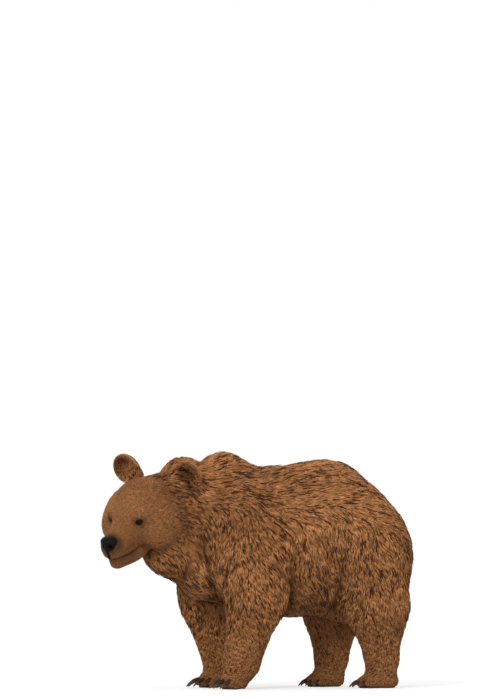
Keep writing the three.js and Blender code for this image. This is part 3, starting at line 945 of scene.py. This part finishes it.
def make_lips():
    """A dark line of lip skin in the mouth's crease, drawn out to nothing at its corners."""
    line = mouth_line()
    columns = 10
    ahead = normalised(np.gradient(line, axis=0))
    up = np.tile(HEAD.direction((0, 0, 1)), (len(line), 1))
    up = normalised(up - ahead * (up * ahead).sum(1, keepdims=True))
    out = np.cross(ahead, up)
    thickness = 3.6 * np.sin(np.linspace(0.12, math.pi - 0.12, len(line))) ** 0.35
    rings = []
    for angle in full_turn(columns):
        rings.append(line + (up * math.cos(angle) + out * math.sin(angle)) * thickness[:, None])
    points = np.stack(rings, 1).reshape(-1, 3)
    lips = mesh_object("lips", points, ring_faces(len(line), columns), lip_material)


make_nose()
make_lips()

# ---------- claws and pads


def claw_points(claw, axes, rows, columns):
    """Rings along a claw: deep and narrow, curved down, keeled above and grooved below."""
    points = []
    for t in np.linspace(-0.12, 0.995, rows):
        centre = np.array([claw["length"] * t, 0, -claw["drop"] * t * t])
        ahead = normalised(np.array([claw["length"], 0, -2 * claw["drop"] * t]))
        up = np.array([-ahead[2], 0, ahead[0]])
        radius = claw["radius"] * math.sqrt(1 - max(t, 0)) * 0.97
        for angle in full_turn(columns):
            ridge = 1 + 0.05 * math.cos(6 * angle)
            high = math.cos(angle) * (1.0 if math.cos(angle) > 0 else 0.82)
            rim = up * high + np.array([0, 0.72 * math.sin(angle), 0])
            points.append(centre + rim * radius * ridge)
    return axes.world(np.array(points))


def make_claws(name, leg):
    """The five claws of a foot: dark horn, paler towards the tips."""
    rows, columns = 22, 16
    claw = leg["build"]["claw"]
    along = np.repeat(np.linspace(0, 1, rows), columns)[:, None]
    angle = np.tile(full_turn(columns), rows)[:, None]
    points, faces, colours = [], [], []
    for i in range(TOES):
        place = toe_axes(leg, i).inner((TOE_RADII[0] - 16, 0, claw["drop"] + 4))
        points.append(claw_points(claw, place, rows, columns))
        faces.append(ring_faces(rows, columns)[:, ::-1] + i * rows * columns)
        streak = 1 + 0.18 * np.sin(5 * angle + 1.7 * i) * np.sin(3 * along + i)
        colours.append(mixed(HORN, HORN_TIP, ease(0.45, 1, along)) * streak)
    claws = mesh_object("claws_" + name, np.concatenate(points), np.concatenate(faces), claw_material)
    mark(claws, np.concatenate(colours))
    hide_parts(*["claw_%s_%d" % (name, i + 1) for i in range(TOES)])


PAD_ROWS, PAD_COLUMNS = 12, 28


def pad_points(axes, at, radii):
    """A low cushion, flat where it stands on the floor."""
    shell = round_shell(np.linspace(0.03, math.pi - 0.03, PAD_ROWS), PAD_COLUMNS)
    upright = shell[..., [1, 2, 0]].reshape(-1, 3) * (1, 1, -1)
    points = axes.world(np.array(at) + upright * radii)
    points[:, 2] = np.maximum(points[:, 2], 0)
    return points


def make_pads(name, leg):
    """The bare pads under a foot: one for each toe, a broad one behind them, and one at the heel."""
    width = leg["build"]["paw_width"]
    length = leg["heel"] - leg["toes"]
    axes = paw_axes(leg)
    pads = [pad_points(axes, (length * 0.56, 0, 5), (length * 0.17, width * 0.38, 9))]
    if leg["build"] is FRONT:
        pads.append(pad_points(axes, (length * 0.22, leg["side"] * width * 0.2, 5), (15, 15, 7)))
    else:
        pads.append(pad_points(axes, (length * 0.3, 0, 5), (length * 0.24, width * 0.24, 8)))
    for i in range(TOES):
        pads.append(pad_points(toe_axes(leg, i), (4, 0, 5), (19, 13, 8)))
    own = ring_faces(PAD_ROWS, PAD_COLUMNS)
    faces = np.concatenate([own + i * PAD_ROWS * PAD_COLUMNS for i in range(len(pads))])
    piece = mesh_object("pads_" + name, np.concatenate(pads), faces, pad_material)


for foot_name, foot_leg in LEGS.items():
    make_claws(foot_name, foot_leg)
    make_pads(foot_name, foot_leg)

# ---------- where the coat lies


def head_flow(points):
    """Back from the nose, round the eyes, down behind the jaw and up on to the ears."""
    count = len(points)
    x, y, z = HEAD.local(points).T
    back = np.stack([-np.ones(count), 0.004 * y, np.full(count, -0.1)], 1)
    back[:, 2] += 0.5 * ease(40, 130, z) * ease(60, 140, x)
    back[:, 2] -= 0.6 * ease(40, -60, x) * ease(60, -40, z)
    flow = HEAD.direction(back)
    for eye in EYES.values():
        away = points - eye
        apart = length_of(away)[:, None]
        flow = flow + 1.6 * away / apart * bell(apart, 38)
    for ear in EARS.values():
        by_root = bell(length_of(points - ear.axes.world((0, 0, -50))), 60)
        flow = flow + 1.6 * by_root[:, None] * ear.axes.direction((0, 0, 1))
    return flow


def lie_of_coat(points, normals, weights):
    """The way that the coat lies: a unit vector along the skin at each point."""
    on_top = ease(0.05, 0.75, normals[:, 2])[:, None]
    backward = np.array((1.0, 0, -0.05))
    flows = {
        "trunk": on_top * backward + (1 - on_top) * np.array((0.42, 0, -1.0)),
        "neck": on_top * backward + (1 - on_top) * np.array((0.62, 0, -1.0)),
        "tail": np.array((0.3, 0, -1.0)),
    }
    for name, leg in LEGS.items():
        flows["leg_" + name] = np.array((0.2, 0, -1.0))
        flows["paw_" + name] = paw_axes(leg).direction((1, 0, -0.45))
    flows["head"] = head_flow(points)
    for name, ear in EARS.items():
        inner = ear.axes.local(points)
        out = np.stack([np.full(len(points), 0.1), inner[:, 1] / 70, 1.0 + inner[:, 2] / 90], 1)
        flows[name] = ear.axes.direction(out)
    flow = sum(weights[ROW[name]][:, None] * way for name, way in flows.items())
    flow = normalised(flow - normals * (flow * normals).sum(1, keepdims=True))
    swirl = 0.26 * waves(points, 300, 31) + 0.16 * waves(points, 110, 32)
    swirl = swirl * (1 - 0.6 * weights[ROW["head"]])
    aside = np.cross(normals, flow)
    return flow * np.cos(swirl)[:, None] + aside * np.sin(swirl)[:, None]


def lock_sizes(points, weights):
    """Length and width of a lock at each point."""
    ahead = HEAD.local(points)[:, 0]
    height = points[:, 2]
    face_length = 6 + 9 * ease(200, 90, ahead) + 36 * ease(60, -110, ahead)
    face_width = 1.9 + 1.2 * ease(200, 90, ahead) + 2.2 * ease(40, -110, ahead)
    lid = bell(from_eyes(points), 40)
    lengths = {"trunk": 76, "neck": 78, "tail": 62, "head": face_length * (1 - 0.5 * lid)}
    widths = {"trunk": 6.2, "neck": 6.2, "tail": 5.6, "head": face_width}
    for name, ear in EARS.items():
        lengths[name] = 21 - 11 * ear.in_bowl(points)
        widths[name] = 2.8
    for name in LEGS:
        up_leg, up_paw = ease(120, 460, height), ease(30, 110, height)
        lengths["leg_" + name], widths["leg_" + name] = 32 + 30 * up_leg, 4.2 + 1.8 * up_leg
        lengths["paw_" + name], widths["paw_" + name] = 11 + 13 * up_paw, 2.7 + 1.3 * up_paw
    return by_part(weights, lengths), by_part(weights, widths)


def is_bare(points, normals):
    """Where no tuft grows: the lids, nose, lips and soles."""
    x, y, z = HEAD.local(points).T
    in_groove = (np.abs(y) < 8) & (x > NOSE_AT[0] - 25) & (z < NOSE_AT[2]) & (z > NOSE_AT[2] - 76)
    on_lips = (np.abs(z - mouth_height(x)) < 4.5) & (x > MOUTH_CORNER) & (points[:, 0] < -500)
    on_sole = (points[:, 2] < 8) | ((points[:, 2] < 18) & (normals[:, 2] < -0.5))
    return (from_eyes(points) < 21.5) | (from_nose(points) < 1) | in_groove | on_lips | on_sole


# ---------- an unwrap of the skin

CHART_SCALE = 1 / 2900  # of the unwrap, for each millimetre
PATCH = 0.003  # the size of a lock's own place on it
CHART_PLACES = {"trunk": (0, 0), "head": (1500, 0), "ear": (2150, 0), "leg": (1500, 1230), "paw": (0, 2150)}


def rolled_out(across, up, radius):
    """How far round a column a point lies, laid flat."""
    return (np.arctan2(across, up) + math.pi) * radius


def unwrap(points, part):
    """Where points lie on the flat chart of their part of the skin, each part in its own place."""
    kind, _, name = part.partition("_")
    corner = np.array(CHART_PLACES.get(kind, CHART_PLACES["trunk"]))
    if part == "head":
        local = HEAD.local(points)
        flat = [local[:, 0] + 240, rolled_out(local[:, 1], local[:, 2] + 20, 190)]
    elif part in EARS:
        local = EARS[part].axes.local(points)
        behind = local[:, 0] < -6
        flat = [local[:, 1] + 80 + 170 * behind, local[:, 2] + 80]
        corner = corner + (0, 170 * (name == "right"))
    elif kind == "leg":
        leg, order = LEGS[name], list(LEGS).index(name)
        middle = (leg["elbow"][0] + leg["wrist"][0]) / 2
        across = points[:, 1] - leg["side"] * STANCE
        flat = [rolled_out(across, points[:, 0] - middle, 105), points[:, 2]]
        corner = corner + (680 * (order % 2), 800 * (order // 2))
    elif kind == "paw":
        local = paw_axes(LEGS[name]).local(points)
        flat = [local[:, 0] + 30, local[:, 1] + 120]
        corner = corner + (350 * list(LEGS).index(name), 0)
    else:
        flat = [points[:, 0] + 640, rolled_out(points[:, 1], points[:, 2] - 700, 335)]
    return np.clip((np.stack(flat, 1) + corner + 20) * CHART_SCALE, 0, 1 - PATCH)


# ---------- tufts

# A lock is a closed spindle: its root, three points round its middle, and its tip.
LOCK_FACES = np.array([(2, 3, 4), (3, 1, 4), (1, 2, 4), (3, 2, 0), (1, 3, 0), (2, 1, 0)])
MOST_LOCKS = 32000  # in one piece
CLUMP = 20  # locks that lean together
CLOSENESS = 0.86  # of neighbouring locks, in widths
STROKE_SPACE = 1150  # square millimetres of coat for each dark guard hair

# The corners of a lock's six faces on a patch of side 1: three slices from root to tip.
LOCK_PATCH = np.array([
    [(left, 0.45), (left + 0.33, 0.45), (left + 0.16, end)]
    for end in (1.0, 0.0)
    for left in (0, 1 / 3, 2 / 3)
])


def roots_on(points, triangles):
    """Evenly spread places over the skin, as dense as the coat is there."""
    corners = points[triangles]
    areas = length_of(np.cross(corners[:, 1] - corners[:, 0], corners[:, 2] - corners[:, 0])) / 2
    middles = corners.mean(1)
    _, widths = lock_sizes(middles, weights_at(middles))
    room = np.cumsum(areas * (1.0 / (CLOSENESS * widths) ** 2))  # for locks, triangle by triangle
    count = int(room[-1])
    chosen = np.searchsorted(room, (np.arange(count) + rng.random(count)) * room[-1] / count)
    corners = corners[np.minimum(chosen, len(triangles) - 1)]
    a, b = np.sqrt(rng.random((2, count, 1)))
    b = b * b
    return corners[:, 0] * (1 - a) + corners[:, 1] * (a * (1 - b)) + corners[:, 2] * (a * b)


def clumps_of(roots):
    """The number of the clump that each root is in, and the roots at the clumps' middles."""
    picked = rng.choice(len(roots), len(roots) // CLUMP, replace=False)
    tree = KDTree(len(picked))
    for number, place in enumerate(roots[picked]):
        tree.insert(place, number)
    tree.balance()
    return np.array([tree.find(place)[1] for place in roots]), picked


class Locks:
    """Every lock of the coat: its root, the part it grows on, its five points and its tones."""

    def __init__(self, roots):
        normals = normalised(slope_of(skin_distance, roots)[1])
        keep = ~is_bare(roots, normals)
        self.roots, self.normals = roots[keep], normals[keep]
        self.count = len(self.roots)
        self.weights = weights_at(self.roots)
        self.lengths, self.widths = lock_sizes(self.roots, self.weights)
        # Painted light: long hair is given a paler colour to make up for the shade it casts on itself.
        self.paler = 0.94 + 0.20 * ease(12, 60, self.lengths)  # long hair shades itself more
        self.clump, self.picked = clumps_of(self.roots)
        self.dark = self.guard_hairs()
        self.lengths = np.where(self.dark, np.maximum(1.1 * self.lengths, 26), self.lengths)
        self.widths = np.where(self.dark, np.maximum(1.2 * self.widths, 3.2), self.widths)
        self.tone = self.by_clump(rng.normal, 0, 1)
        self.layer = rng.beta(2.2, 1.4, self.count) * self.by_clump(rng.uniform, 0.72, 1.0)
        self.layer[self.dark] = 0.95
        self.lengths = self.lengths * rng.uniform(0.75, 1.15, self.count) * (0.75 + 0.25 * self.layer)
        self.points = self.shapes()

    def by_clump(self, draw, *values):
        """One random value for each clump, given to all its locks."""
        return draw(*values, len(self.picked))[self.clump]

    def guard_hairs(self):
        """A long dark guard hair stands out of some clumps, and of fewer on the face."""
        on_face = self.weights[ROW["head"]] * ease(-60, 40, HEAD.local(self.roots)[:, 0])
        chance = CLUMP * (CLOSENESS * self.widths) ** 2 / STROKE_SPACE * (1 - 0.5 * on_face)
        dark = np.zeros(self.count, bool)
        dark[self.picked] = rng.random(len(self.picked)) < chance[self.picked]
        return dark

    def shapes(self):
        """The five points of each lock, lying along the coat and leaning to its clump's middle."""
        roots, lengths = self.roots, self.lengths[:, None]
        flow = lie_of_coat(roots, self.normals, self.weights)
        depth = coat_depth(roots, self.weights)
        centre, centre_flow = (values[self.picked][self.clump] for values in (roots, flow))

        turn = (self.by_clump(rng.normal, 0, 0.18) + rng.normal(0, 0.13, self.count))[:, None]
        way = flow * np.cos(turn) + np.cross(self.normals, flow) * np.sin(turn)
        middle = roots + way * (0.46 * lengths) + (centre - roots) * 0.10
        middle = settled(middle, skin_distance, depth * (0.28 + 0.45 * self.layer), 1, 30)
        normals = normalised(slope_of(skin_distance, middle)[1])
        onward = normalised(way - normals * (way * normals).sum(1, keepdims=True))
        tips = middle + onward * (0.54 * lengths)
        tips = tips + (centre + centre_flow * lengths - tips) * 0.36
        tips = settled(tips, skin_distance, depth * (0.14 + 0.80 * self.layer), 1, 30)

        ahead = normalised(tips - middle)
        across = normalised(np.cross(normals, ahead))
        roll = rng.normal(0, 0.5, self.count)[:, None]
        aside = across * np.cos(roll) + np.cross(ahead, across) * np.sin(roll)
        half = (self.widths / 2)[:, None]
        sunk = self.normals * np.minimum(2.5, 0.3 * depth)[:, None]
        lift = np.cross(ahead, aside) * half * 0.75
        points = [roots - sunk, middle - aside * half, middle + aside * half, middle + lift, tips]
        points = np.stack(points, 1)
        points[:, 1:, 2] = np.maximum(points[:, 1:, 2], 1.0)  # none goes into the floor
        return points

    def colours(self):
        """The colours of each lock's five points: darkest at the root, palest at the tip."""
        tone = 0.07 * self.tone + rng.normal(0, 0.085, self.count) + 0.12 * (self.layer - 0.5)
        base = coat_colour(self.roots) * np.exp(tone)[:, None] * self.paler[:, None]
        colours = np.empty((self.count, 5, 3))
        colours[:, 0] = base * 0.7
        colours[:, 1:4] = base[:, None]
        colours[:, 4] = base * 1.2
        colours[self.dark, 1:] = STROKE * np.exp(0.4 * tone[self.dark])[:, None, None]
        return colours


def coat_piece(name, part, points, roots, colours):
    faces = (LOCK_FACES[None] + 5 * np.arange(len(points))[:, None, None]).reshape(-1, 3)
    piece = mesh_object(name, points.reshape(-1, 3), faces, coat_material)
    mark(piece, colours.reshape(-1, 3))
    layer = piece.data.uv_layers.new(name="OFBake")
    places = unwrap(roots, part)[:, None, None] + LOCK_PATCH[None] * PATCH
    layer.data.foreach_set("uv", places.astype(np.float32).ravel())


def make_coat():
    """Grows the coat, in pieces named for the parts of the body that they cover."""
    locks = Locks(roots_on(skin_points, skin_triangles))
    colours = locks.colours()
    owner = locks.weights.argmax(0)
    for part, row in ROW.items():
        of_part = np.flatnonzero(owner == row)
        of_part = of_part[np.argsort(locks.roots[of_part, 0], kind="stable")]
        pieces = math.ceil(len(of_part) / MOST_LOCKS)
        for index, chosen in enumerate(np.array_split(of_part, pieces)):
            name = "coat_" + part + ("_%d" % (index + 1) if pieces > 1 else "")
            coat_piece(name, part, locks.points[chosen], locks.roots[chosen], colours[chosen])


make_coat()

# ---------- studio and camera

WHITE = (1, 1, 1, 1)
WORLD_LIGHT = 0.73
FLOOR_GLOW = 0.48  # with the lamps on it, the floor then shows white
FLOOR_HALF = 60.0  # metres
CAMERA_AZIMUTH, CAMERA_ELEVATION, CAMERA_DISTANCE = -20, 0.5, 40.0
PICTURE_HEIGHT = 3.28  # metres, where the bear stands
BEAR_MIDDLE = Vector((0, 0, 0.55))
AIM_ASIDE, AIM_ABOVE = -0.005, 1.034  # metres from the bear's middle, so that it stands low


def towards(azimuth, elevation):
    """A unit vector: azimuth 0 is in front of the bear's left side, and grows towards +X."""
    a, e = math.radians(azimuth), math.radians(elevation)
    return Vector((math.sin(a) * math.cos(e), -math.cos(a) * math.cos(e), math.sin(e)))


def sun_light(name, azimuth, elevation, strength, spread):
    """A soft lamp far off in that direction."""
    lamp = bpy.data.lights.new(name, "SUN")
    lamp.energy = strength
    lamp.angle = math.radians(spread)
    made = in_scene(name, lamp)
    made.rotation_euler = towards(azimuth, elevation).to_track_quat("Z", "Y").to_euler()


def seen_directly(tree):
    """1 for rays from the camera and in reflections, which see the plain white background."""
    path = new_node(tree, "LightPath", {})
    last = path.outputs["Is Camera Ray"]
    for kind in ("Is Glossy Ray", "Is Transmission Ray"):
        last = new_node(tree, "Math", {0: last, 1: path.outputs[kind]}, operation="MAXIMUM").outputs[0]
    return last


def make_world():
    """Soft even light from all round, which the camera sees as white."""
    world = bpy.data.worlds.new("studio")
    bpy.context.scene.world = world
    world.use_nodes = True
    tree = world.node_tree
    tree.nodes.clear()
    lit = new_node(tree, "Background", {"Color": WHITE, "Strength": WORLD_LIGHT}).outputs[0]
    white = new_node(tree, "Background", {"Color": WHITE}).outputs[0]
    mix = new_node(tree, "MixShader", {0: seen_directly(tree), 1: lit, 2: white})
    new_node(tree, "OutputWorld", {"Surface": mix.outputs[0]})


def make_floor():
    """A wide pale floor that shows white where no shadow falls."""
    corners = [(x * FLOOR_HALF, y * FLOOR_HALF, 0) for x, y in ((-1, -1), (1, -1), (1, 1), (-1, 1))]
    mesh = bpy.data.meshes.new("floor")
    mesh.from_pydata(corners, [], [(0, 1, 2, 3)])
    floor = in_scene("floor", mesh)
    material, tree, shader = new_material("floor_white")
    strength = new_node(tree, "Math", {0: seen_directly(tree), 1: FLOOR_GLOW}, operation="MULTIPLY")
    fill(tree, shader, {"Base Color": (0.5, 0.5, 0.5, 1), "Roughness": 1.0, "Specular IOR Level": 0.0})
    fill(tree, shader, {"Emission Color": WHITE, "Emission Strength": strength.outputs[0]})
    mesh.materials.append(material)


def make_camera():
    """A long lens in front of the left side, a little ahead, with the bear low in the picture."""
    camera = bpy.data.cameras.new("camera")
    camera.lens = camera.sensor_width * CAMERA_DISTANCE / PICTURE_HEIGHT
    camera.clip_end = 200
    made = in_scene("camera", camera)
    made.location = BEAR_MIDDLE + towards(CAMERA_AZIMUTH, CAMERA_ELEVATION) * CAMERA_DISTANCE
    right = towards(CAMERA_AZIMUTH + 90, 0)
    aim = BEAR_MIDDLE + right * AIM_ASIDE + Vector((0, 0, AIM_ABOVE))
    made.rotation_euler = (aim - made.location).to_track_quat("-Z", "Y").to_euler()
    bpy.context.scene.camera = made


sun_light("key", -38, 30, 1.65, 10)
sun_light("fill", 38, 14, 1.0, 40)
sun_light("front", -95, 14, 0.85, 40)
sun_light("back", 160, 36, 0.6, 40)
make_world()
make_floor()
make_camera()
bpy.context.scene.view_settings.view_transform = "Standard"
